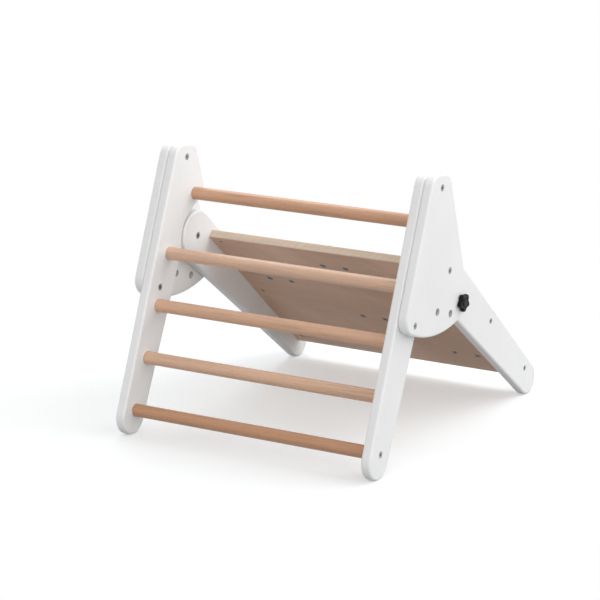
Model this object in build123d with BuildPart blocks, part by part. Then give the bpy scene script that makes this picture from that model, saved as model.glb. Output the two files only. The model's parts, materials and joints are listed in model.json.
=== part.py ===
"""Folding climbing triangle: a five-rung ladder, hinged to a rear frame that carries a climbing board.

X runs along the rungs, Y from the ladder's feet to the rear feet, Z up from the floor.
The origin is on the floor, midway between the sides and midway from front to back.
"""
import os
from math import asin, atan2, cos, degrees, radians, sin, sqrt

from build123d import *

# Driving dimensions, millimetres and degrees
clear_width = 580
plate_thickness = 22
edge_radius = 5
overall_height = 595
foot_spread = 685.4

rail_lean = 23.7
rail_taper = 1.36
rail_foot_radius = 39.5
rung_diameter = 28
lowest_rung_along = 14.2
low_rung_count = 4
socket_depth = 14

# Places up the ladder are shares of the overall height; places across it are lengths
rung_pitch_share = 0.1933
top_rung_along_share, top_rung_across = 0.8479, 49.7
pivot_along_share, pivot_across = 0.7044, 97.6
upper_bolt_along_share, upper_bolt_across = 0.9603, -9.6
lower_bolt_along_share, lower_bolt_across = 0.476, -6.0

cheek_back_lean = 16.44
cheek_top_fall = 6
cheek_top_radius_share = 0.44
cheek_front_radius = 33
lobe_rise = 34
lobe_radius = 25
relief_radius = 62
relief_corner_radius = 30

lock_distance = 93.4
lock_angles = (57.5, 87.5, 125)
lock_hole_diameter = 16
lock_hole_rounding = 1
lock_edge_distance = 33.4

leg_head_radius = 56
leg_foot_radius = 35.5
leg_running_gap = 0.5

board_thickness = 18
board_depth_in_leg = 26.5
board_start = 40.5
board_foot_clearance = 7.1
board_bolt_inset = 19.5
board_bolt_foot_inset = 28.5
board_bolt_count = 3
board_edge_radius = 2

bolt_diameter = 6
bolt_head_diameter = 15
bolt_head_height = 4
bolt_sink = 0.5
sleeve_diameter = 9
small_head_diameter = 13
small_head_height = 3
hex_across_corners = 5.8
barrel_diameter = 10
barrel_length = 14
barrel_inset = 22
fit = 0.05
head_clearance = 0.2

washer_diameter = 28
washer_thickness = 1.5
insert_diameter = 14
insert_length = 14
insert_pilot_diameter = 8
stud_diameter = 10
stud_gap = 0.3
knob_diameter = 40
knob_height = 12
knob_lobes = 5
knob_turn = 45.5

hold_length, hold_width, hold_height = 100, 62, 30
hold_screw_pitch = 57
hold_across_share = 0.32
hold_along_shares = (0.347, 0.138, 0.605, 0.851)
hold_taper = 14
hold_crown_share = 0.4
hold_bore_share = 0.6

rim_share = 0.15
thread_reach_share = 0.8
knob_lobe_share = 0.4
knob_hub_share = 0.1

# Stations worked out from the driving dimensions
inner_x = clear_width / 2
joint_x = inner_x + plate_thickness
outer_x = joint_x + plate_thickness
leg_inner_x = inner_x - leg_running_gap
leg_outer_x = joint_x - leg_running_gap
overall_depth = rail_foot_radius + foot_spread + leg_foot_radius
bolt_radius = bolt_diameter / 2
head_radius = bolt_head_diameter / 2
head_recess = bolt_head_height + bolt_sink
sides = (("left", -1), ("right", 1))


def toward(angle):
    """Unit vector in the side view (Y, Z) at an angle above +Y."""
    return Vector(cos(radians(angle)), sin(radians(angle)))


def bearing(start, end):
    """Angle of the direction from start to end, in the side view."""
    return degrees(atan2(end.Y - start.Y, end.X - start.X))


def crossing(point_1, angle_1, point_2, angle_2):
    """Where two lines meet, each given by a point and its direction's angle."""
    first, second = toward(angle_1), toward(angle_2)
    apart = point_2 - point_1
    reach = (apart.X * second.Y - apart.Y * second.X) / (first.X * second.Y - first.Y * second.X)
    return point_1 + first * reach


def line_onto_circle(point, angle, centre, radius):
    """First point where a line from a point, at an angle, meets a circle."""
    run = toward(angle)
    apart = point - centre
    along = apart.dot(run)
    return point + run * (-along - sqrt(along**2 - apart.dot(apart) + radius**2))


# Side view: the ladder's own axes start at the centre of the round foot and lean back with the rails
foot_centre = Vector(rail_foot_radius - overall_depth / 2, rail_foot_radius)
rail_up = toward(90 - rail_lean)
rail_back = toward(-rail_lean)


def on_ladder(along, across):
    return foot_centre + rail_up * along + rail_back * across


pivot = on_ladder(overall_height * pivot_along_share, pivot_across)
upper_bolt = on_ladder(overall_height * upper_bolt_along_share, upper_bolt_across)
lower_bolt = on_ladder(overall_height * lower_bolt_along_share, lower_bolt_across)
rung_pitch = overall_height * rung_pitch_share
low_rungs = [on_ladder(lowest_rung_along + rung_pitch * step, 0) for step in range(low_rung_count)]
rung_centres = [on_ladder(overall_height * top_rung_along_share, top_rung_across)] + low_rungs[::-1]
lock_holes = [pivot + toward(-angle) * lock_distance for angle in lock_angles]
lock_hole = lock_holes[0]

# The rail widens evenly from its foot, so its two long edges lean a little less and a little more
front_angle = 90 - rail_lean + rail_taper
rear_angle = 90 - rail_lean - rail_taper
front_start = foot_centre + toward(front_angle + 90) * rail_foot_radius
rear_start = foot_centre + toward(rear_angle - 90) * rail_foot_radius

# Rail and cheek plate share their top, front and back edges
back_angle = 90 + cheek_back_lean
back_start = lock_hole + toward(back_angle - 90) * lock_edge_distance
crown = Vector(upper_bolt.X, overall_height)
top_front = crossing(front_start, front_angle, crown, -cheek_top_fall)
top_back = crossing(back_start, back_angle, crown, -cheek_top_fall)
cheek_top_radius = (top_back - top_front).length * cheek_top_radius_share

# Behind the pivot the rail is cut away in an arc, so that the leg's round head can turn
lobe_start = pivot + toward(90 + lobe_rise) * relief_radius
lobe_corner = crossing(lobe_start, lobe_rise, back_start, back_angle)
relief_corner = line_onto_circle(rear_start, rear_angle, pivot, relief_radius)

# The cheek plate's belly is an arc about the upper bolt, with a rounded corner at each end
belly_radius = (lock_hole - upper_bolt).length + lock_edge_distance
corner_line = front_start - toward(front_angle + 90) * cheek_front_radius
offset = corner_line - upper_bolt
step_back = offset.dot(toward(front_angle))
reach = sqrt(step_back**2 - offset.dot(offset) + (belly_radius - cheek_front_radius) ** 2)
front_corner = corner_line - toward(front_angle) * (step_back + reach)
belly_front = bearing(upper_bolt, front_corner)
belly_rear = bearing(upper_bolt, lock_hole)

# The leg is the hull of its round head and its round foot; the board lies under its upper edge
leg_foot = Vector(overall_depth / 2 - leg_foot_radius, leg_foot_radius)
leg_span = (leg_foot - pivot).length
leg_taper = degrees(asin((leg_head_radius - leg_foot_radius) / leg_span))
leg_angle = bearing(pivot, leg_foot)
upper_edge_angle = leg_angle - leg_taper
lower_edge_angle = leg_angle + leg_taper
edge_normal = toward(upper_edge_angle + 90)
board_top = pivot + edge_normal * (leg_head_radius - board_depth_in_leg) + toward(upper_edge_angle) * board_start
board_normal = (0, edge_normal.X, edge_normal.Y)
board_plane = Plane(origin=(0, board_top.X, board_top.Y), x_dir=(1, 0, 0), z_dir=board_normal)
board_length = leg_span - board_start - board_foot_clearance
board_bolt_pitch = (board_length - board_bolt_inset - board_bolt_foot_inset) / (board_bolt_count - 1)
board_bolt_stations = [board_bolt_inset + board_bolt_pitch * step for step in range(board_bolt_count)]
board_bolts = [board_top + toward(upper_edge_angle) * station for station in board_bolt_stations]
hold_across = clear_width * hold_across_share
hold_places = [
    (-hold_across, board_length * hold_along_shares[0]),
    (0, board_length * hold_along_shares[1]),
    (0, board_length * hold_along_shares[2]),
    (hold_across, board_length * hold_along_shares[3]),
]
hold_screws = [
    (across + end * hold_screw_pitch / 2, along) for across, along in hold_places for end in (-1, 1)
]


def drill(start_x, depth, radius, centres):
    """Cuts round holes along X, from the plane X = start_x, into the part being built."""
    with BuildSketch(Plane.YZ.offset(start_x)) as holes:
        with Locations(*centres):
            Circle(radius)
    extrude(holes.sketch, amount=depth, mode=Mode.SUBTRACT)


def socket_bolt(seat_x, out, centre, radius, height, shank_length):
    """A bolt along X: its head stands outward from seat_x, its shank runs inward from it."""
    with BuildPart() as bolt:
        with BuildSketch(Plane.YZ.offset(seat_x)):
            with Locations(centre):
                Circle(radius)
        extrude(amount=out * height)
        with BuildSketch(Plane.YZ.offset(seat_x)):
            with Locations(centre):
                Circle(bolt_radius)
        extrude(amount=-out * shank_length)
        rims = bolt.edges().filter_by(GeomType.CIRCLE).sort_by(Axis.X, reverse=out < 0)
        chamfer([rims[0], rims[-1]], bolt_radius * rim_share)
        with BuildSketch(Plane.YZ.offset(seat_x + out * height)):
            with Locations(centre):
                RegularPolygon(hex_across_corners / 2, 6)
        extrude(amount=-out * height / 2, mode=Mode.SUBTRACT)
    return bolt


def sleeve_nut(seat_x, out, centre, barrel_radius, barrel_reach):
    """A nut with a long barrel: its head is on the inward side, its barrel runs outward."""
    with BuildPart() as nut:
        with BuildSketch(Plane.YZ.offset(seat_x)):
            with Locations(centre):
                Circle(head_radius)
        extrude(amount=-out * bolt_head_height)
        with BuildSketch(Plane.YZ.offset(seat_x)):
            with Locations(centre):
                Circle(barrel_radius)
        extrude(amount=out * barrel_reach)
        rims = nut.edges().filter_by(GeomType.CIRCLE).sort_by(Axis.X, reverse=out < 0)
        chamfer([rims[0], rims[-1]], bolt_radius * rim_share)
        with BuildSketch(Plane.YZ.offset(seat_x + out * barrel_reach)):
            with Locations(centre):
                Circle(bolt_radius + fit)
        extrude(amount=-out * barrel_reach * thread_reach_share, mode=Mode.SUBTRACT)
        with BuildSketch(Plane.YZ.offset(seat_x - out * bolt_head_height)):
            with Locations(centre):
                RegularPolygon(hex_across_corners / 2, 6)
        extrude(amount=out * bolt_head_height / 2, mode=Mode.SUBTRACT)
    return nut


def write(piece, name):
    piece.part.label = name
    export_step(piece.part, f"parts/{name}.step")


os.makedirs("parts", exist_ok=True)

# Rails: the long side members of the ladder, rounded along both faces
with BuildSketch(Plane.YZ) as rail_profile:
    with BuildLine():
        Polyline(
            front_start, top_front, top_back, lobe_corner, lobe_start,
            pivot, relief_corner, rear_start, foot_centre, close=True,
        )
    make_face()
    with Locations(pivot):
        Circle(relief_radius, mode=Mode.SUBTRACT)
    with Locations(foot_centre):
        Circle(rail_foot_radius)
    for corner, radius in (
        (top_front, cheek_top_radius),
        (top_back, cheek_top_radius),
        (lobe_corner, lobe_radius),
        (relief_corner, relief_corner_radius),
    ):
        fillet(rail_profile.vertices().sort_by_distance(corner)[0], radius)

sleeve_fit_radius = sleeve_diameter / 2 + fit
screw_seat_x = joint_x - head_recess
for side, out in sides:
    with BuildPart() as rail:
        extrude(rail_profile.sketch.moved(Location((out * inner_x, 0, 0))), amount=out * plate_thickness)
        fillet(rail.faces().filter_by(Axis.X).edges(), edge_radius)
        drill(out * inner_x, out * socket_depth, rung_diameter / 2 + fit, rung_centres)
        drill(out * joint_x, -out * head_recess, head_radius + fit, rung_centres[-1:])
        drill(out * joint_x, -out * plate_thickness, bolt_radius + fit, rung_centres[-1:])
        drill(out * inner_x, out * head_recess, head_radius + fit, (upper_bolt, lower_bolt))
        drill(out * inner_x, out * plate_thickness, sleeve_fit_radius, (upper_bolt, lower_bolt))
    write(rail, f"{side}_rail")

# Cheek plates: they carry the pivot and the lock holes, outside the rails
with BuildSketch(Plane.YZ) as cheek_profile:
    with BuildLine():
        Line(front_corner + toward(front_angle + 90) * cheek_front_radius, top_front)
        Line(top_front, top_back)
        Line(top_back, back_start)
        CenterArc(lock_hole, lock_edge_distance, back_angle - 90, belly_rear - back_angle + 90)
        CenterArc(upper_bolt, belly_radius, belly_rear, belly_front - belly_rear)
        CenterArc(front_corner, cheek_front_radius, belly_front, front_angle - 270 - belly_front)
    make_face()
    for corner in (top_front, top_back):
        fillet(cheek_profile.vertices().sort_by_distance(corner)[0], cheek_top_radius)

sleeve_entry = bolt_head_height
washer_recess = washer_thickness - leg_running_gap + 2 * fit
for side, out in sides:
    with BuildPart() as cheek:
        extrude(cheek_profile.sketch.moved(Location((out * joint_x, 0, 0))), amount=out * plate_thickness)
        fillet(cheek.faces().filter_by(Axis.X).edges(), edge_radius)
        drill(out * joint_x, out * plate_thickness, lock_hole_diameter / 2, lock_holes)
        lock_rims = [wire.edge() for face in cheek.faces().filter_by(Axis.X) for wire in face.inner_wires()]
        fillet(lock_rims, lock_hole_rounding)
        drill(out * outer_x, -out * head_recess, head_radius + fit, (upper_bolt, lower_bolt, pivot))
        drill(out * outer_x, -out * plate_thickness, bolt_radius + fit, (upper_bolt, lower_bolt, pivot))
        drill(out * joint_x, out * sleeve_entry, sleeve_fit_radius, (upper_bolt, lower_bolt, pivot))
        drill(out * joint_x, out * washer_recess, washer_diameter / 2 + fit, (pivot,))
    write(cheek, f"{side}_cheek_plate")

# Rungs: round bars whose ends sit in blind sockets in the rails; number 1 is the highest
rung_reach = inner_x + socket_depth
pilot_depth = plate_thickness * 2
for number, centre in enumerate(rung_centres, start=1):
    with BuildPart() as rung:
        with BuildSketch(Plane.YZ.offset(-rung_reach)):
            with Locations(centre):
                Circle(rung_diameter / 2)
        extrude(amount=2 * rung_reach)
        chamfer(rung.edges().filter_by(GeomType.CIRCLE), rung_diameter / 2 * rim_share / 2)
        if number == len(rung_centres):
            for _, out in sides:
                drill(out * rung_reach, -out * pilot_depth, bolt_radius + fit, (centre,))
    write(rung, f"rung_{number}")

# Screws that pull the rails onto the lowest rung, and the bolts and sleeve nuts of the cheek plates
for side, out in sides:
    screw_length = screw_seat_x - rung_reach + pilot_depth * thread_reach_share
    write(
        socket_bolt(out * screw_seat_x, out, rung_centres[-1], head_radius, bolt_head_height, screw_length),
        f"{side}_rung_screw",
    )
    nut_seat_x = inner_x + head_recess
    sleeve_reach = joint_x + sleeve_entry - nut_seat_x
    bolt_seat_x = outer_x - head_recess
    bolt_length = bolt_seat_x - nut_seat_x - sleeve_reach * (1 - thread_reach_share) - bolt_radius
    for level, centre in (("upper", upper_bolt), ("lower", lower_bolt)):
        write(
            socket_bolt(out * bolt_seat_x, out, centre, head_radius, bolt_head_height, bolt_length),
            f"{side}_{level}_cheek_bolt",
        )
        write(
            sleeve_nut(out * nut_seat_x, out, centre, sleeve_diameter / 2, sleeve_reach),
            f"{side}_{level}_sleeve_nut",
        )

# Pivots: the leg turns on the barrel of a sleeve nut, against a washer let into the cheek plate
leg_head_seat_x = leg_inner_x + head_recess
pivot_seat_x = leg_head_seat_x - head_clearance
pivot_reach = joint_x + sleeve_entry - pivot_seat_x
for side, out in sides:
    write(
        sleeve_nut(out * pivot_seat_x, out, pivot, sleeve_diameter / 2, pivot_reach),
        f"{side}_pivot_sleeve",
    )
    write(
        socket_bolt(out * bolt_seat_x, out, pivot, head_radius, bolt_head_height, bolt_length),
        f"{side}_pivot_bolt",
    )
    with BuildPart() as washer:
        with BuildSketch(Plane.YZ.offset(out * (joint_x + washer_recess))):
            with Locations(pivot):
                Circle(washer_diameter / 2)
                Circle(sleeve_fit_radius, mode=Mode.SUBTRACT)
        extrude(amount=-out * washer_thickness)
    write(washer, f"{side}_pivot_washer")

# Rear legs: the hull of two circles, with the bolt holes of the board under the upper edge
with BuildSketch(Plane.YZ) as leg_profile:
    with BuildLine():
        Polyline(
            pivot + toward(upper_edge_angle + 90) * leg_head_radius,
            leg_foot + toward(upper_edge_angle + 90) * leg_foot_radius,
            leg_foot + toward(lower_edge_angle - 90) * leg_foot_radius,
            pivot + toward(lower_edge_angle - 90) * leg_head_radius,
            close=True,
        )
    make_face()
    with Locations(pivot):
        Circle(leg_head_radius)
    with Locations(leg_foot):
        Circle(leg_foot_radius)

small_head_recess = small_head_height + bolt_sink
for side, out in sides:
    with BuildPart() as leg:
        extrude(leg_profile.sketch.moved(Location((out * leg_inner_x, 0, 0))), amount=out * plate_thickness)
        fillet(leg.faces().filter_by(Axis.X).edges(), edge_radius)
        drill(out * leg_inner_x, out * head_recess, head_radius + head_clearance, (pivot,))
        drill(out * leg_inner_x, out * plate_thickness, sleeve_fit_radius, (pivot,))
        drill(out * leg_inner_x, out * plate_thickness, insert_pilot_diameter / 2, (lock_hole,))
        drill(out * leg_outer_x, -out * insert_length, insert_diameter / 2 + fit, (lock_hole,))
        drill(out * leg_outer_x, -out * small_head_recess, small_head_diameter / 2 + fit, board_bolts)
        drill(out * leg_outer_x, -out * plate_thickness, bolt_radius + fit, board_bolts)
    write(leg, f"{side}_rear_leg")

# Climbing board: plywood between the legs, with holes in its underside for the barrel nuts and hold screws
board_half = board_thickness / 2
barrel_hole_depth = board_half + barrel_length / 2
barrel_x = leg_inner_x - barrel_inset
board_bolt_depth = barrel_inset + barrel_diameter
nut_places = [(out * barrel_x, station) for out in (-1, 1) for station in board_bolt_stations]
with BuildPart() as board:
    with BuildSketch(board_plane):
        with Locations((0, board_length / 2)):
            Rectangle(2 * leg_inner_x, board_length)
    extrude(amount=board_half, both=True)
    fillet(board.edges().filter_by(Axis.X), board_edge_radius)
    for _, out in sides:
        drill(out * leg_inner_x, -out * board_bolt_depth, bolt_radius + fit, board_bolts)
    with BuildSketch(board_plane.offset(-board_half)):
        with Locations(*nut_places):
            Circle(barrel_diameter / 2 + fit)
    extrude(amount=barrel_hole_depth, mode=Mode.SUBTRACT)
    with BuildSketch(board_plane.offset(-board_half)):
        with Locations(*hold_screws):
            Circle(head_radius + fit)
    extrude(amount=head_recess, mode=Mode.SUBTRACT)
    with BuildSketch(board_plane.offset(-board_half)):
        with Locations(*hold_screws):
            Circle(bolt_radius + fit)
    extrude(amount=board_thickness, mode=Mode.SUBTRACT)
write(board, "climbing_board")

# Bolts and barrel nuts that hold the board between the legs
slot_width = barrel_diameter * rim_share
for side, out in sides:
    seat_x = leg_outer_x - small_head_recess
    reach_in = seat_x - leg_inner_x + board_bolt_depth - bolt_radius
    for number, (centre, station) in enumerate(zip(board_bolts, board_bolt_stations), start=1):
        write(
            socket_bolt(out * seat_x, out, centre, small_head_diameter / 2, small_head_height, reach_in),
            f"{side}_board_bolt_{number}",
        )
        with BuildPart() as nut:
            with BuildSketch(board_plane):
                with Locations((out * barrel_x, station)):
                    Circle(barrel_diameter / 2)
            extrude(amount=barrel_length / 2, both=True)
            with BuildSketch(board_plane.offset(-barrel_length / 2)):
                with Locations((out * barrel_x, station)):
                    Rectangle(barrel_diameter, slot_width)
            extrude(amount=slot_width, mode=Mode.SUBTRACT)
            drill(out * leg_inner_x, -out * 2 * barrel_inset, bolt_radius + fit, (centre,))
        write(nut, f"{side}_barrel_nut_{number}")

# Climbing holds on the upper face, each with two screws from the underside
hold_crown_radius = hold_height * hold_crown_share
screw_seat = head_recess - board_half
screw_reach = board_half + hold_height / 2 - screw_seat
for number, place in enumerate(hold_places, start=1):
    with BuildPart() as hold:
        with BuildSketch(board_plane.offset(board_half)):
            with Locations(place):
                Ellipse(hold_length / 2, hold_width / 2)
        extrude(amount=hold_height, taper=hold_taper)
        hold_top = hold.faces().sort_by(Axis(origin=(0, 0, 0), direction=board_normal))[-1]
        fillet(hold_top.edges(), hold_crown_radius)
        with BuildSketch(board_plane.offset(board_half)):
            with Locations(place):
                with GridLocations(hold_screw_pitch, 0, 2, 1):
                    Circle(bolt_radius + fit)
        extrude(amount=hold_height * hold_bore_share, mode=Mode.SUBTRACT)
    write(hold, f"hold_{number}")

for number, place in enumerate(hold_screws, start=1):
    with BuildPart() as screw:
        with BuildSketch(board_plane.offset(screw_seat)):
            with Locations(place):
                Circle(head_radius)
        extrude(amount=-bolt_head_height)
        with BuildSketch(board_plane.offset(screw_seat)):
            with Locations(place):
                Circle(bolt_radius)
        extrude(amount=screw_reach)
        with BuildSketch(board_plane.offset(screw_seat - bolt_head_height)):
            with Locations(place):
                RegularPolygon(hex_across_corners / 2, 6)
        extrude(amount=bolt_head_height / 2, mode=Mode.SUBTRACT)
    write(screw, f"hold_screw_{number}")

# Locks: a threaded insert in each leg, and a shouldered stud with a star knob through the cheek plate
stud_radius = stud_diameter / 2
shoulder_start_x = joint_x + plate_thickness * rim_share
stud_start_x = leg_outer_x + stud_gap
stud_end_x = outer_x + knob_height * thread_reach_share
lobe_size = knob_diameter / 2 * knob_lobe_share
hub_height = knob_height * knob_hub_share
for side, out in sides:
    with BuildPart() as insert:
        with BuildSketch(Plane.YZ.offset(out * leg_outer_x)):
            with Locations(lock_hole):
                Circle(insert_diameter / 2)
                Circle(stud_radius + fit, mode=Mode.SUBTRACT)
        extrude(amount=-out * insert_length)
    write(insert, f"{side}_lock_insert")

    with BuildPart() as stud:
        with BuildSketch(Plane.YZ.offset(out * stud_start_x)):
            with Locations(lock_hole):
                Circle(stud_radius)
        extrude(amount=out * (stud_end_x - stud_start_x))
        chamfer(stud.edges().filter_by(GeomType.CIRCLE), stud_radius * rim_share)
        with BuildSketch(Plane.YZ.offset(out * shoulder_start_x)):
            with Locations(lock_hole):
                Circle(lock_hole_diameter / 2 - fit)
        extrude(amount=out * (outer_x - shoulder_start_x))
    write(stud, f"{side}_lock_stud")

    with BuildPart() as knob:
        with BuildSketch(Plane.YZ.offset(out * (outer_x + hub_height))) as star:
            with Locations(lock_hole):
                Circle(knob_diameter / 2 - lobe_size)
                with PolarLocations(knob_diameter / 2 - lobe_size, knob_lobes, start_angle=knob_turn):
                    Circle(lobe_size)
            fillet(star.vertices(), lobe_size / 2)
        extrude(amount=out * (knob_height - hub_height))
        fillet(knob.faces().filter_by(Axis.X).edges(), hub_height / 2)
        with BuildSketch(Plane.YZ.offset(out * outer_x)):
            with Locations(lock_hole):
                Circle(knob_diameter / 4)
        extrude(amount=out * hub_height)
        drill(out * outer_x, out * (stud_end_x - outer_x), stud_radius + fit, (lock_hole,))
    write(knob, f"{side}_lock_knob")
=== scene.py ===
"""A folding climbing triangle: a ladder of five rungs, hinged to a sloping climbing board.

X runs along the rungs, Y from the ladder's feet to the rear feet, Z up from the floor, in metres.
"""
import json
from math import pi, radians

import bpy
import numpy as np
from mathutils import Matrix, Vector


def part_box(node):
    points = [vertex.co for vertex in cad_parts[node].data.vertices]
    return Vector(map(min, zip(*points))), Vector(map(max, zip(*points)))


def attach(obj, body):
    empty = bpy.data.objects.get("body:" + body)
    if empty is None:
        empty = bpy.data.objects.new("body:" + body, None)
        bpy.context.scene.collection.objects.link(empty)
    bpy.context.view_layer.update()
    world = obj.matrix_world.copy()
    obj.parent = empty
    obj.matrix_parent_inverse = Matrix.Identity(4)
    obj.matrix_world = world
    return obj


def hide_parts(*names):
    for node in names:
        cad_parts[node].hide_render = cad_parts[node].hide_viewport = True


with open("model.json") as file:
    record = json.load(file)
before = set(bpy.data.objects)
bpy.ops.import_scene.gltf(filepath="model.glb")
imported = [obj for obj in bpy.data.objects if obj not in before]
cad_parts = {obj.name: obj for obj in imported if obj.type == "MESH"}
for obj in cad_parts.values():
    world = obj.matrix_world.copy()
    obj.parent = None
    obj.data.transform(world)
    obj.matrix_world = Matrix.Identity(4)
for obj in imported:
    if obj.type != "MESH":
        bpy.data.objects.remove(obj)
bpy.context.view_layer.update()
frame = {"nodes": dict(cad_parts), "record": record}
nodes = frame["nodes"]

# Rails, cheek plates and rear legs: 22 mm boards with routed round edges, sprayed with satin white lacquer.
# The cheek plates are bolted flat to the outside of the rails, and the legs turn in the plane of the rails.
# The walls of the lock holes are coloured a darker grey: painted shade inside the holes.
LACQUER_WHITE = (0.865, 0.865, 0.863)
LACQUER_SHADE = (0.835, 0.834, 0.83)
CLOUD_SCALE = 7
PEEL_SCALE = 640
SANDING_STRETCH = (30, 5, 5)
BORE_PAINTED_SHADE = (0.6, 0.585, 0.575)
BORE_RADIUS = 0.0081
BORE_EDGE = 0.0005
# Degrees about the pivot from the lock hole in use to each of the lock holes
LOCK_TURNS = (0, 30, 67.5)


def both_sides(*pieces):
    """The CAD names of these pieces, left and right."""
    return [f"{side}_{piece}" for side in ("left", "right") for piece in pieces]


def middle_of(name):
    """The middle of a CAD node's box."""
    low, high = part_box(name)
    return (low + high) / 2


def dress(names, material):
    """Gives CAD nodes this finish in place of the plain one that they come with."""
    for name in names:
        for material_slot in nodes[name].material_slots:
            material_slot.material = material


def node_adder(tree):
    """A way to add nodes to a tree; each input is a socket to link from, or a value to set."""
    def add(kind, inputs=None, **settings):
        node = tree.nodes.new(kind)
        for key, value in settings.items():
            setattr(node, key, value)
        for key, value in (inputs or {}).items():
            if isinstance(value, bpy.types.NodeSocket):
                tree.links.new(value, node.inputs[key])
            else:
                node.inputs[key].default_value = value
        return node

    return add


def start_finish(name, settings=None):
    """A node material: its Object coordinates, and ways to add nodes and to join them to its shader.

    Settings are the shader's values that are the same all over the piece.
    """
    material = bpy.data.materials.new(name)
    material.use_nodes = True
    tree = material.node_tree
    shader = tree.nodes["Principled BSDF"]
    for key, value in (settings or {}).items():
        shader.inputs[key].default_value = value
    add = node_adder(tree)

    def join(output, key):
        tree.links.new(output, shader.inputs[key])

    return material, add("ShaderNodeTexCoord").outputs["Object"], add, join


def maths(add, operation, *values):
    """The result of one operation on these sockets or numbers."""
    return add("ShaderNodeMath", dict(enumerate(values)), operation=operation).outputs[0]


def coordinate(add, place, axis):
    """How far along X, Y or Z a place is."""
    return add("ShaderNodeSeparateXYZ", {"Vector": place}).outputs[axis]


def stretched_noise(add, place, scale, detail, distortion=0):
    """Noise whose cells are 1 / scale metres long on each axis, so grain comes from unequal scales."""
    sized = add("ShaderNodeMapping", {"Vector": place, "Scale": scale}).outputs["Vector"]
    inputs = {"Vector": sized, "Scale": 1, "Detail": detail, "Distortion": distortion}
    return add("ShaderNodeTexNoise", inputs).outputs["Fac"]


def even_noise(add, place, scale, detail):
    """Noise whose cells are 1 / scale metres long on every axis."""
    return stretched_noise(add, place, (scale,) * 3, detail)


def graded(add, factor, stops):
    """A colour for each value of the factor; stops are (value, (r, g, b)) in rising order."""
    node = add("ShaderNodeValToRGB", {"Fac": factor})
    elements = node.color_ramp.elements
    while len(elements) < len(stops):
        elements.new(1)
    for element, (value, colour) in zip(elements, stops):
        element.position = value
        element.color = (*colour, 1)
    return node.outputs["Color"]


def span(add, value, low, high, to_low=0, to_high=1):
    """Maps low..high of a value onto to_low..to_high, and holds it there beyond."""
    return add("ShaderNodeMapRange", {
        "Value": value, "From Min": low, "From Max": high, "To Min": to_low, "To Max": to_high,
    }).outputs["Result"]


def sum_of(add, first, second, first_share, second_share):
    """first times its share plus second times its share."""
    part = maths(add, "MULTIPLY", second, second_share)
    return maths(add, "MULTIPLY_ADD", first, first_share, part)


def mixed(add, factor, first, second):
    """A colour that goes from first to second with the factor; each is a socket or (r, g, b)."""
    first, second = (end if isinstance(end, bpy.types.NodeSocket) else (*end, 1) for end in (first, second))
    return add("ShaderNodeMix", {0: factor, 6: first, 7: second}, data_type="RGBA").outputs[2]


def raised(add, join, height, strength, distance):
    """Relief in the shading alone: it stands proud by the distance where the height is 1."""
    bump = add("ShaderNodeBump", {"Height": height, "Strength": strength, "Distance": distance})
    join(bump.outputs["Normal"], "Normal")


def lacquer(name, shaded_bores=()):
    """White lacquer: a faint cloudy shade, long sanding marks, and the orange peel of a sprayed coat.

    Bores are the centres of holes along X; their walls are coloured a darker grey, as painted shade inside
    the holes.
    """
    material, place, add, join = start_finish(name, {"Specular IOR Level": 0.42})
    cloud = even_noise(add, place, CLOUD_SCALE, detail=4)
    marks = stretched_noise(add, place, SANDING_STRETCH, detail=3)
    tone = sum_of(add, cloud, marks, 0.65, 0.35)
    colour = graded(add, tone, ((0.38, LACQUER_SHADE), (0.58, LACQUER_WHITE)))
    flat = add("ShaderNodeMapping", {"Vector": place, "Scale": (0, 1, 1)}).outputs["Vector"]
    for centre in shaded_bores:
        away = add("ShaderNodeVectorMath", {0: flat, 1: centre}, operation="DISTANCE").outputs["Value"]
        # Painted shade: inside each lock hole the colour turns a darker grey.
        colour = mixed(add, span(add, away, BORE_RADIUS, BORE_RADIUS + BORE_EDGE), BORE_PAINTED_SHADE, colour)
    join(colour, "Base Color")
    peel = even_noise(add, place, PEEL_SCALE, detail=3)
    uneven_gloss = sum_of(add, peel, cloud, 0.5, 0.5)
    join(span(add, uneven_gloss, 0.35, 0.65, to_low=0.36, to_high=0.5), "Roughness")
    raised(add, join, peel, strength=0.14, distance=0.0004)
    return material


dress(both_sides("rail", "rear_leg"), lacquer("white_lacquer"))
pivot_centre = middle_of("right_pivot_bolt")
lock_arm = middle_of("right_lock_stud") - pivot_centre
turned_arms = [Matrix.Rotation(radians(-turn), 3, "X") @ lock_arm for turn in LOCK_TURNS]
lock_holes = [Vector((0, pivot_centre.y + arm.y, pivot_centre.z + arm.z)) for arm in turned_arms]
dress(both_sides("cheek_plate"), lacquer("white_lacquer_cheeks", lock_holes))

# Rungs: 28 mm turned beech, clear lacquered, glued into blind sockets in the rails; number 1 is the highest.
# Each has its own tint, partly the wood's own and partly painted light: paler on rungs 2 to 4 as painted
# sheen, and darker on rung 5 as painted shade near the floor. The grain is soft long bands and short darker
# flecks.
RUNG_TINTS_AND_PAINTED_LIGHT = (
    (0.6, 0.335, 0.205), (0.68, 0.44, 0.31), (0.66, 0.4, 0.265), (0.68, 0.43, 0.295), (0.52, 0.27, 0.15),
)
BAND_STRETCH = (2.2, 48, 48)
STREAK_STRETCH = (10, 340, 340)
FLECK_STRETCH = (85, 1300, 1300)


def tinted(colour, share):
    """A colour made darker or lighter by a share."""
    return tuple(channel * share for channel in colour)


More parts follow.
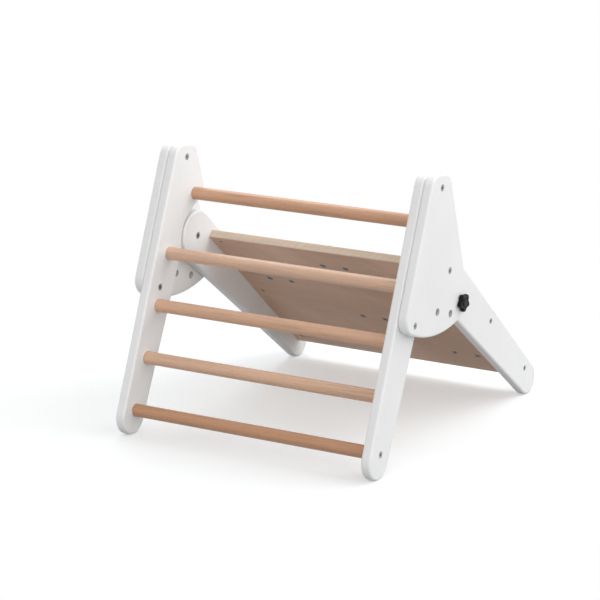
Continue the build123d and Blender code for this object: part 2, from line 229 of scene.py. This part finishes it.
def beech(name, tint):
    """Straight grain along X: broad bands, narrow streaks and fine dark flecks, each a stretched noise."""
    material, place, add, join = start_finish(name, {
        "Specular IOR Level": 0.3, "Coat Weight": 0.4, "Coat Roughness": 0.29,
    })
    band = stretched_noise(add, place, BAND_STRETCH, detail=3, distortion=0.3)
    streak = stretched_noise(add, place, STREAK_STRETCH, detail=4, distortion=0.6)
    fleck = stretched_noise(add, place, FLECK_STRETCH, detail=2)
    base = graded(add, sum_of(add, band, streak, 0.5, 0.5), (
        (0.36, tinted(tint, 0.8)), (0.48, tint), (0.56, tinted(tint, 1.06)), (0.66, tinted(tint, 0.93)),
    ))
    speck = span(add, fleck, 0.58, 0.72, to_high=0.55)
    join(mixed(add, speck, base, tinted(tint, 0.6)), "Base Color")
    join(span(add, streak, 0.35, 0.65, to_low=0.38, to_high=0.54), "Roughness")
    raised(add, join, sum_of(add, fleck, streak, 0.5, 0.5), strength=0.22, distance=0.0003)
    return material


for number, tint in enumerate(RUNG_TINTS_AND_PAINTED_LIGHT, start=1):
    dress([f"rung_{number}"], beech(f"beech_rung_{number}", tint))

# Bolts, screws and sleeve nuts: 6 mm zinc-plated steel with hex sockets, their heads sunk half a millimetre.
# They clamp the cheek plates to the rails, pull the rails onto the lowest rung, and carry the pivots and
# the board.
ZINC = (0.42, 0.424, 0.435)
ZINC_SHADE = (0.29, 0.293, 0.302)
SOCKET_PAINTED_SHADE = (0.07, 0.07, 0.074)
SOCKET_START = 0.0002
SOCKET_END = 0.0009
PLATING_SCALE = 900


def plated_steel(name, right_piece, inward):
    """Plated steel with painted shade down the hex socket: the depth along X behind the head's face sets the
    colour.

    The face is read from the right-hand piece: its outer end, or its inner end where the head faces inward.
    """
    material, place, add, join = start_finish(name, {"Metallic": 1})
    plating = even_noise(add, place, PLATING_SCALE, detail=3)
    metal = graded(add, plating, ((0.35, ZINC_SHADE), (0.62, ZINC)))
    low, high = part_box(right_piece)
    from_middle = maths(add, "ABSOLUTE", coordinate(add, place, "X"))
    if inward:
        depth = maths(add, "SUBTRACT", from_middle, low.x)
    else:
        depth = maths(add, "SUBTRACT", high.x, from_middle)
    # Painted shade: the colour goes near black with depth down the hex socket.
    join(mixed(add, span(add, depth, SOCKET_START, SOCKET_END), metal, SOCKET_PAINTED_SHADE), "Base Color")
    join(span(add, plating, 0.3, 0.7, to_low=0.34, to_high=0.5), "Roughness")
    raised(add, join, plating, strength=0.1, distance=0.0001)
    return material


for finish, pieces, inward in (
    ("zinc_cheek_bolts", ("pivot_bolt", "upper_cheek_bolt", "lower_cheek_bolt"), False),
    ("zinc_rung_screws", ("rung_screw",), False),
    ("zinc_board_bolts", ("board_bolt_1", "board_bolt_2", "board_bolt_3"), False),
    ("zinc_sleeve_nuts", ("upper_sleeve_nut", "lower_sleeve_nut"), True),
    ("zinc_pivot_sleeves", ("pivot_sleeve",), True),
):
    dress(both_sides(*pieces), plated_steel(finish, f"right_{pieces[0]}", inward))

# Pivot washers: 28 mm natural nylon rings let into the cheek plates, which the turning legs slide on.
# Natural nylon is milky and a little yellow, and goes mottled where the leg rubs it.
NYLON = (0.7, 0.69, 0.64)
NYLON_SHADE = (0.62, 0.6, 0.54)


def mottled(name, settings, scale, detail, stops, roughness, relief):
    """A finish whose colour, by the stops, and roughness and relief all follow one even noise.

    Roughness is (from, to), and relief is the bump's (strength, distance).
    """
    material, place, add, join = start_finish(name, settings)
    tone = even_noise(add, place, scale, detail)
    join(graded(add, tone, stops), "Base Color")
    join(span(add, tone, 0.3, 0.7, *roughness), "Roughness")
    raised(add, join, tone, *relief)
    return material


dress(both_sides("pivot_washer"), mottled(
    "nylon_washer", {"Subsurface Weight": 0.1}, scale=160, detail=3,
    stops=((0.35, NYLON_SHADE), (0.6, NYLON)), roughness=(0.3, 0.5), relief=(0.1, 0.0002),
))

# Climbing board: 18 mm plywood of thirteen plies, clear lacquered, bolted between the rear legs.
# The face veneers run along X; on the edges and in the holes the plies show as light and dark lines in turn.
PLY_THICKNESS = 0.0013846
FACE_PLY_START = 0.0085
FACE_PLY_EDGE = 0.0003
VENEER_TINT = (0.72, 0.48, 0.35)
LONG_PLY = (0.8, 0.69, 0.565)
CROSS_PLY = (0.57, 0.435, 0.33)
VENEER_BAND_STRETCH = (1.4, 16, 3)
VENEER_STREAK_STRETCH = (7, 190, 60)
PORE_STRETCH = (120, 1500, 400)
FIGURE_STRETCH = (5.5, 1.4, 1)
FIGURE_TURN = radians(38)
WISP_STRETCH = (26, 1.6, 3)

underside_normal = Vector(frame["record"]["mounts"][0]["axis"])
board_up = -underside_normal.normalized()
board_down = board_up.cross((1, 0, 0))
board_lean = Vector((0, 0, 1)).angle(board_up)
board_axes = np.array(((1, 0, 0), board_down, board_up))


def box_in_board_axes(name):
    """Lowest and highest of a CAD node's corners across the board, down it and up from it."""
    mesh = nodes[name].data
    corners = np.empty(len(mesh.vertices) * 3)
    mesh.vertices.foreach_get("co", corners)
    placed = corners.reshape(-1, 3) @ board_axes.T
    return placed.min(axis=0), placed.max(axis=0)


board_low, board_high = box_in_board_axes("climbing_board")
board_middle = (board_low + board_high) / 2


def plywood(name):
    """Veneer on the two faces and plies between them, told apart by the distance from the middle plane.

    The veneer is bands, streaks and a slanting figure, with light wisps and dark pores. The plies follow a
    cosine of that distance.
    """
    material, place, add, join = start_finish(name, {"Specular IOR Level": 0.38})
    laid = add("ShaderNodeMapping", {
        "Vector": place, "Rotation": (board_lean, 0, 0), "Location": (0, -board_middle[1], -board_middle[2]),
    }).outputs["Vector"]
    slanted = add("ShaderNodeMapping", {"Vector": laid, "Rotation": (0, 0, FIGURE_TURN)}).outputs["Vector"]
    band = stretched_noise(add, laid, VENEER_BAND_STRETCH, detail=4, distortion=0.8)
    streak = stretched_noise(add, laid, VENEER_STREAK_STRETCH, detail=4, distortion=0.5)
    pore = stretched_noise(add, laid, PORE_STRETCH, detail=2)
    figure = stretched_noise(add, slanted, FIGURE_STRETCH, detail=3, distortion=0.4)
    wisp = stretched_noise(add, slanted, WISP_STRETCH, detail=2, distortion=0.6)
    tone = sum_of(add, sum_of(add, band, streak, 0.6, 0.4), figure, 0.45, 0.55)
    veneer = graded(add, tone, (
        (0.4, tinted(VENEER_TINT, 0.9)), (0.5, VENEER_TINT), (0.6, tinted(VENEER_TINT, 1.1)),
    ))
    veneer = mixed(add, span(add, wisp, 0.58, 0.74, to_high=0.22), veneer, tinted(VENEER_TINT, 1.3))
    veneer = mixed(add, span(add, pore, 0.6, 0.74, to_high=0.4), veneer, tinted(VENEER_TINT, 0.62))
    from_middle = coordinate(add, laid, "Z")
    wave = maths(add, "COSINE", maths(add, "MULTIPLY", from_middle, pi / PLY_THICKNESS))
    lengthwise = span(add, sum_of(add, wave, streak, 1, 0.5), 0, 0.6)
    plies = mixed(add, lengthwise, CROSS_PLY, LONG_PLY)
    plies = mixed(add, span(add, streak, 0.45, 0.7, to_high=0.35), plies, tinted(CROSS_PLY, 0.8))
    distance = maths(add, "ABSOLUTE", from_middle)
    on_face = span(add, distance, FACE_PLY_START, FACE_PLY_START + FACE_PLY_EDGE)
    join(mixed(add, on_face, plies, veneer), "Base Color")
    join(span(add, tone, 0.4, 0.6, to_low=0.56, to_high=0.44), "Roughness")
    raised(add, join, sum_of(add, pore, streak, 0.5, 0.5), strength=0.2, distance=0.0003)
    return material


dress(["climbing_board"], plywood("plywood_board"))

# Barrel nuts: slotted cross dowels, 10 mm, in the underside of the board, where the board bolts end.
# They are yellow-plated steel that has gone brown.
NUT_BROWN = (0.3, 0.22, 0.13)
NUT_DARK = (0.15, 0.105, 0.06)
dress(both_sides("barrel_nut_1", "barrel_nut_2", "barrel_nut_3"), mottled(
    "yellow_plated_nut", {"Metallic": 0.85}, scale=700, detail=4,
    stops=((0.38, NUT_DARK), (0.62, NUT_BROWN)), roughness=(0.3, 0.52), relief=(0.15, 0.0001),
))

# Climbing holds: four hand-sized cast resin stones on the upper face, staggered up the board.
# Each is a gritty dome with a flat back and a finger hollow on its uphill side, and two screws hold it.
HOLD_COUNT = 4
HOLD_STEPS = 96
HOLD_ROWS = 34
# Waves round the stone, each with the share of the radius that it draws in
HOLD_BULGES = ((3, 0.035), (5, 0.02), (8, 0.01))
RIM_POWER = 0.5
CROWN_POWER = 0.85
# The hollow's middle, across and down, and its squared widths, as shares of the stone's half sizes
HOLLOW_DEPTH = 0.3
HOLLOW_ACROSS, HOLLOW_DOWN = 0.1, -0.55
HOLLOW_WIDTH, HOLLOW_LENGTH = 0.16, 0.1
RIPPLE_HEIGHT = 0.015
RIPPLE_ACROSS, RIPPLE_DOWN = 9, 7
HOLD_GREY = (0.44, 0.435, 0.425)
HOLD_DARK = (0.3, 0.3, 0.295)
HOLD_LIGHT = (0.62, 0.61, 0.59)
GRIT_SCALE = 850
BLOTCH_SCALE = 45


def closed_shell(name, rows, material):
    """Skins rows of points, (row, step, xyz), from the pole at the first row to the pole at the last.

    Each step joins the next and the last step joins the first; rows rise, steps turn left seen from the top.
    """
    count, steps = rows.shape[:2]
    rings = rows[1:-1].reshape(-1, 3)
    points = np.vstack((rows[0, :1], rings, rows[-1, :1]))
    step = np.arange(steps)
    after = (step + 1) % steps
    low = 1 + steps * np.arange(count - 3)[:, None]
    high = low + steps
    quads = np.stack((low + step, low + after, high + after, high + step), axis=-1).reshape(-1, 4)
    top = len(points) - 1
    foot = np.stack((np.zeros_like(step), 1 + after, 1 + step), axis=-1)
    head = np.stack((np.full_like(step, top), top - steps + step, top - steps + after), axis=-1)
    mesh = bpy.data.meshes.new(name)
    mesh.from_pydata(points.tolist(), [], foot.tolist() + quads.tolist() + head.tolist())
    mesh.polygons.foreach_set("use_smooth", np.ones(len(mesh.polygons), bool))
    mesh.materials.append(material)
    piece = bpy.data.objects.new(name, mesh)
    bpy.context.scene.collection.objects.link(piece)
    return piece


def stone(number):
    """A dome on an ellipse. With p the angle from rim to crown, radius is cos(p)^0.5 and height sin(p)^0.85.

    Cosines of the angle round it draw its sides in, a bell-shaped hollow lowers its uphill side, and low
    ripples cross its top. The first row is the middle of its flat back.
    """
    low, high = box_in_board_axes(f"hold_{number}")
    half_across, half_down, tall = (high[0] - low[0]) / 2, (high[1] - low[1]) / 2, high[2] - low[2]
    angle = np.linspace(0, 2 * pi, HOLD_STEPS, endpoint=False)
    rise = np.linspace(0, pi / 2, HOLD_ROWS)[:, None]
    drawn = sum(depth * (1 - np.cos(waves * angle + number * waves)) / 2 for waves, depth in HOLD_BULGES)
    reach = np.cos(rise) ** RIM_POWER * (1 - drawn)
    across, down = reach * np.cos(angle), reach * np.sin(angle)
    from_hollow = (across - HOLLOW_ACROSS) ** 2 / HOLLOW_WIDTH + (down - HOLLOW_DOWN) ** 2 / HOLLOW_LENGTH
    ripple = np.sin(RIPPLE_ACROSS * across + number) * np.sin(RIPPLE_DOWN * down + 2 * number)
    crown = 1 - HOLLOW_DEPTH * np.exp(-from_hollow) + RIPPLE_HEIGHT * ripple - RIPPLE_HEIGHT
    up = np.sin(rise) ** CROWN_POWER * crown
    middle = (low + high) / 2
    placed = np.stack((
        middle[0] + half_across * across, middle[1] + half_down * down, low[2] + tall * up,
    ), axis=-1)
    back = placed[:1] * 0 + np.array((middle[0], middle[1], low[2]))
    placed[-1] = placed[-1].mean(axis=0)
    return np.vstack((back, placed)) @ board_axes


def cast_resin(name):
    """Grey stone grit, fine, over soft blotches."""
    material, place, add, join = start_finish(name)
    grit = even_noise(add, place, GRIT_SCALE, detail=3)
    blotch = even_noise(add, place, BLOTCH_SCALE, detail=4)
    tone = sum_of(add, grit, blotch, 0.6, 0.4)
    join(graded(add, tone, ((0.38, HOLD_DARK), (0.5, HOLD_GREY), (0.63, HOLD_LIGHT))), "Base Color")
    join(span(add, grit, 0.3, 0.7, to_low=0.7, to_high=0.9), "Roughness")
    raised(add, join, grit, strength=0.5, distance=0.0006)
    return material


resin = cast_resin("cast_resin")
for number in range(1, HOLD_COUNT + 1):
    hold = closed_shell(f"hold_stone_{number}", stone(number), resin)
    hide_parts(f"hold_{number}")
    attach(hold, "rear_frame")

# Hold screws: blue-passivated socket screws, two through the board into each hold, their heads flush below.
# The film over the zinc is bluish and dull, and darker where it is thick.
PASSIVE_BLUE = (0.2, 0.215, 0.24)
PASSIVE_DARK = (0.1, 0.108, 0.122)
dress([f"hold_screw_{number}" for number in range(1, 2 * HOLD_COUNT + 1)], mottled(
    "blue_passivated_screws", {"Metallic": 1}, scale=500, detail=4,
    stops=((0.36, PASSIVE_DARK), (0.64, PASSIVE_BLUE)), roughness=(0.34, 0.52), relief=(0.12, 0.0001),
))

# Locks, fixed parts: a turned brass insert is pressed into each leg, and a plated stud screws into it.
# The stud's tip has a thread, a fine wave along X with a turn every 1.5 mm; its shoulder is turned smooth.
BRASS = (0.62, 0.44, 0.2)
BRASS_SHADE = (0.44, 0.3, 0.13)
THREAD_PITCH = 0.0015
THREAD_RUNOUT = 0.0003
SHOULDER_START = 0.0033
dress(both_sides("lock_insert"), mottled(
    "brass_insert", {"Metallic": 1}, scale=600, detail=3,
    stops=((0.36, BRASS_SHADE), (0.62, BRASS)), roughness=(0.25, 0.42), relief=(0.15, 0.0001),
))


def threaded_stud(name):
    """Zinc plating; the thread is a triangle wave along X that is held level from the shoulder outwards."""
    material, place, add, join = start_finish(name, {"Metallic": 1})
    plating = even_noise(add, place, PLATING_SCALE, detail=3)
    along = coordinate(add, place, "X")
    wave = span(add, maths(add, "PINGPONG", along, THREAD_PITCH / 2), 0, THREAD_PITCH / 2)
    shoulder_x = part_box("right_cheek_plate")[0].x + SHOULDER_START
    level = span(add, maths(add, "ABSOLUTE", along), shoulder_x - THREAD_RUNOUT, shoulder_x)
    thread = maths(add, "MAXIMUM", wave, level)
    # Painted shade: the thread wave also darkens the colour in the grooves of the thread.
    join(graded(add, sum_of(add, plating, thread, 0.5, 0.5), ((0.25, ZINC_SHADE), (0.7, ZINC))), "Base Color")
    join(span(add, plating, 0.3, 0.7, to_low=0.24, to_high=0.4), "Roughness")
    raised(add, join, thread, strength=0.8, distance=0.0006)
    return material


dress(both_sides("lock_stud"), threaded_stud("threaded_stud"))

# Star knobs: 40 mm moulded black nylon with five lobes, a low hub behind and a pressed-in cap in front.
# Each is fixed on its stud and screws it into the leg, one at each side.
KNOB_STEPS = 120
KNOB_LOBES = 5
KNOB_TURN = radians(45.5)
LOBE_SHARPNESS = 0.85
MILLIMETRE = 0.001
# From the hub's centre round to the cap's, in mm: radius in the valleys, radius at the lobes, and height
KNOB_PROFILE = (
    (0, 0, 0), (7, 7, 0), (9.6, 9.6, 0), (10, 10, 0.4), (10.3, 10.4, 0.9), (11.8, 15.5, 1.0),
    (13.2, 18.7, 1.3), (13.9, 19.7, 2.2), (14.1, 20, 3.6), (14.1, 20, 8), (13.9, 19.8, 9.6),
    (13.4, 19.1, 10.8), (12.6, 17.9, 11.6), (11.7, 16.2, 11.9), (10.9, 14.2, 11.3), (10.2, 12.5, 10.4),
    (9.6, 10.6, 9.8), (9.1, 9.2, 9.7), (8.8, 8.8, 10.4), (8.5, 8.5, 11.4), (8, 8, 11.9),
    (6, 6, 11.97), (3, 3, 12), (0, 0, 12),
)
NYLON_BLACK = (0.003, 0.003, 0.0033)
NYLON_GREY = (0.008, 0.008, 0.0088)
SPARK_SCALE = 1400
FLOW_SCALE = 120


def star_knob(side, out):
    """A profile carried round X. At the angle a from a lobe, its radius goes from valley to lobe as
    ((1 + cos 5a) / 2) ^ 0.85.
    """
    valley, lobe, height = np.array(KNOB_PROFILE).T[:, :, None] * MILLIMETRE
    angle = out * np.linspace(0, 2 * pi, KNOB_STEPS, endpoint=False)
    swing = ((1 + np.cos(KNOB_LOBES * (angle - KNOB_TURN))) / 2) ** LOBE_SHARPNESS
    radius = valley + (lobe - valley) * swing
    middle = middle_of(f"{side}_lock_stud")
    knob_low, knob_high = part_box(f"{side}_lock_knob")
    seat_x = knob_low.x if out > 0 else knob_high.x
    return np.stack((
        seat_x + out * height + radius * 0,
        middle.y + radius * np.cos(angle),
        middle.z + radius * np.sin(angle),
    ), axis=-1)


def moulded_nylon(name):
    """Near black, with faint flow marks and the fine spark-eroded texture of the mould."""
    material, place, add, join = start_finish(name, {"Specular IOR Level": 0.15})
    spark = even_noise(add, place, SPARK_SCALE, detail=2)
    flow = even_noise(add, place, FLOW_SCALE, detail=3)
    tone = sum_of(add, spark, flow, 0.5, 0.5)
    join(graded(add, tone, ((0.4, NYLON_BLACK), (0.62, NYLON_GREY))), "Base Color")
    join(span(add, flow, 0.3, 0.7, to_low=0.24, to_high=0.38), "Roughness")
    raised(add, join, spark, strength=0.2, distance=0.0002)
    return material


knob_nylon = moulded_nylon("black_moulded_nylon")
for side, out in (("left", -1), ("right", 1)):
    knob = closed_shell(f"{side}_star_knob", star_knob(side, out), knob_nylon)
    rounding = knob.modifiers.new("rounding", "SUBSURF")
    rounding.levels = rounding.render_levels = 1
    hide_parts(f"{side}_lock_knob")
    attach(knob, f"{side}_lock_knob")

# Floor: a seamless white studio floor that keeps the soft shadow and goes to plain white further out.
# Camera, gloss and glass see it lifted to white; for the light that it throws back it is a pale grey.
FLOOR_HALF = 20
FLOOR_CELLS = 8
FLOOR_PALE = 0.36
FLOOR_SEEN = 0.74
FLOOR_LIFT = 0.34
FLOOR_COOL = (0.975, 1, 1.01)
SHADOW_REACH = 0.5
SHADOW_END = 1.1

floor_grid = np.linspace(-FLOOR_HALF, FLOOR_HALF, FLOOR_CELLS + 1)
floor_x, floor_y = np.meshgrid(floor_grid, floor_grid, indexing="ij")
floor_points = np.stack((floor_x, floor_y, floor_x * 0), axis=-1).reshape(-1, 3)
cell = np.arange(FLOOR_CELLS)[:, None] * (FLOOR_CELLS + 1) + np.arange(FLOOR_CELLS)
next_row = cell + FLOOR_CELLS + 1
floor_cells = np.stack((cell, next_row, next_row + 1, cell + 1), axis=-1).reshape(-1, 4)
floor_mesh = bpy.data.meshes.new("studio_floor")
floor_mesh.from_pydata(floor_points.tolist(), [], floor_cells.tolist())
floor = bpy.data.objects.new("studio_floor", floor_mesh)
bpy.context.scene.collection.objects.link(floor)


def seen_directly(add):
    """1 for camera, glossy and transmission rays, and 0 for the rays that carry diffuse light."""
    ray = add("ShaderNodeLightPath")
    gloss = maths(add, "MAXIMUM", ray.outputs["Is Camera Ray"], ray.outputs["Is Glossy Ray"])
    return maths(add, "MAXIMUM", gloss, ray.outputs["Is Transmission Ray"])


def white_floor(name):
    """Pale grey paint; a ray that sees it directly finds it whiter and glowing, more so further out."""
    material, place, add, join = start_finish(name, {
        "Roughness": 1, "Specular IOR Level": 0, "Emission Color": (1, 1, 1, 1),
    })
    seen = seen_directly(add)
    away = add("ShaderNodeVectorMath", {0: place}, operation="LENGTH").outputs["Value"]
    near = maths(add, "SUBTRACT", 1, span(add, away, SHADOW_REACH, SHADOW_END))
    share = maths(add, "MULTIPLY", near, FLOOR_SEEN)
    lift = maths(add, "MULTIPLY_ADD", near, FLOOR_LIFT - 1, 1)
    tint = add("ShaderNodeMix", {0: seen, 2: FLOOR_PALE, 3: share}).outputs[0]
    red, green, blue = (maths(add, "MULTIPLY", tint, part) for part in FLOOR_COOL)
    paint = add("ShaderNodeCombineColor", {"Red": red, "Green": green, "Blue": blue})
    join(paint.outputs["Color"], "Base Color")
    join(maths(add, "MULTIPLY", seen, lift), "Emission Strength")
    return material


floor_mesh.materials.append(white_floor("white_floor"))

# Light: an even white studio, two large soft lamps overhead behind, and wide fills from the front and both
# sides. The camera stands where the photograph was taken from, to the right of the ladder side, and looks
# slightly down.
STUDIO_LEVEL = 0.45
LAMP_AIM = Vector((0, 0, 0.25))
NEAR_LAMPS = (
    ("key_lamp", Vector((0.98, 0.85, 1.85)), 1.5, 13),
    ("sheen_lamp", Vector((-0.9, 0.62, 1.75)), 0.8, 6),
)
FILLS = (
    ("front_fill", (0.3, -0.93, 0.2), 1.33),
    ("right_fill", (0.95, 0.1, 0.2), 1.65),
    ("left_fill", (-0.95, 0.2, 0.2), 0.55),
)
FILL_PLACE = (0, 0, 2)
FILL_SPREAD = radians(90)
CAMERA_PLACE = (2.67717, -4.56133, 1.68249)
CAMERA_TURN, CAMERA_PITCH, CAMERA_ROLL = 0.543592, 0.263198, -0.005519
CAMERA_LENS, CAMERA_SENSOR = 151.071, 36
CAMERA_REACH = 100

studio = bpy.data.worlds.new("studio")
studio.use_nodes = True
bpy.context.scene.world = studio
add_to_studio = node_adder(studio.node_tree)
level = maths(add_to_studio, "MULTIPLY_ADD", seen_directly(add_to_studio), 1 - STUDIO_LEVEL, STUDIO_LEVEL)
backdrop = studio.node_tree.nodes["Background"]
backdrop.inputs["Color"].default_value = (1, 1, 1, 1)
studio.node_tree.links.new(level, backdrop.inputs["Strength"])


def hang(lamp_name, kind, place, from_side):
    """A lamp that shines from a side toward the object; a sun's place doesn't matter."""
    lamp_data = bpy.data.lights.new(lamp_name, kind)
    lamp = bpy.data.objects.new(lamp_name, lamp_data)
    lamp.location = place
    lamp.rotation_euler = Vector(from_side).to_track_quat("Z", "Y").to_euler()
    bpy.context.scene.collection.objects.link(lamp)
    return lamp_data


for lamp_name, place, width, power in NEAR_LAMPS:
    soft_lamp = hang(lamp_name, "AREA", place, place - LAMP_AIM)
    soft_lamp.shape = "DISK"
    soft_lamp.size = width
    soft_lamp.energy = power
for lamp_name, from_side, strength in FILLS:
    wide_fill = hang(lamp_name, "SUN", FILL_PLACE, from_side)
    wide_fill.angle = FILL_SPREAD
    wide_fill.energy = strength

camera_data = bpy.data.cameras.new("camera")
camera_data.lens = CAMERA_LENS
camera_data.sensor_width = CAMERA_SENSOR
camera_data.clip_end = CAMERA_REACH
camera = bpy.data.objects.new("camera", camera_data)
aim = Matrix.Rotation(CAMERA_TURN, 4, "Z") @ Matrix.Rotation(pi / 2 - CAMERA_PITCH, 4, "X")
camera.matrix_world = Matrix.Translation(CAMERA_PLACE) @ aim @ Matrix.Rotation(CAMERA_ROLL, 4, "Z")
bpy.context.scene.collection.objects.link(camera)
bpy.context.scene.camera = camera
bpy.context.scene.view_settings.view_transform = "Standard"
